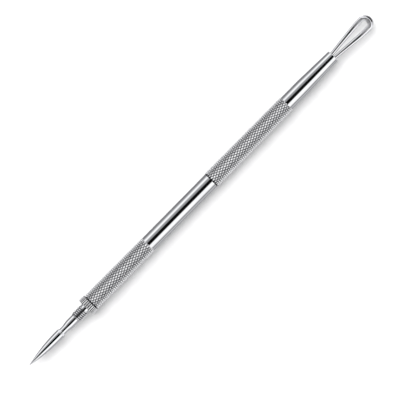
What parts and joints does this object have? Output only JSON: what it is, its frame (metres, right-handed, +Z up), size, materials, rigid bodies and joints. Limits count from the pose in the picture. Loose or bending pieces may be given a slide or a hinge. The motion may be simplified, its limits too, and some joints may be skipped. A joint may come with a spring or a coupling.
{
  "type": "blackhead extractor",
  "caption": "Double-ended steel skin tool: knurled round handle, flattened wire loop at one end and a reversible screw-in lancet with a finger collar at the other.",
  "frame": {"origin": "on the surface the tool lies on, under the middle of its length and its long axis", "axes": "+X along the tool from the needle tip towards the loop, +Y across it in the plane of the loop, +Z up from the surface it lies on"},
  "size_m": [0.14, 0.0058, 0.0058],
  "materials": {
    "handle_steel": "polished stainless steel, rolled knurl",
    "loop_steel": "polished spring-steel wire",
    "braze": "cast silver braze",
    "needle_steel": "ground and polished hardened steel",
    "holder_steel": "turned stainless steel"
  },
  "bodies": {
    "handle": {"handle": "handle_steel", "extractor_loop": "loop_steel", "loop_braze": "braze"},
    "lancet_needle": {"lancet_needle": "needle_steel"},
    "lancet_holder": {"lancet_holder": "holder_steel"}
  },
  "joints": [
    {"name": "lancet_advance", "type": "slide", "parent": "handle", "child": "lancet_needle", "axis": [-1, 0, 0], "range_m": [0, 0.0048]},
    {"name": "lancet_turn", "type": "hinge", "parent": "lancet_needle", "child": "lancet_holder", "pos_m": [-0.0456, 0, 0.00287], "axis": [-1, 0, 0], "range_deg": [0, 2880]}
  ],
  "couplings": [
    {"joint": "lancet_turn", "follows": "lancet_advance", "rad_per_m": 10472}
  ]
}
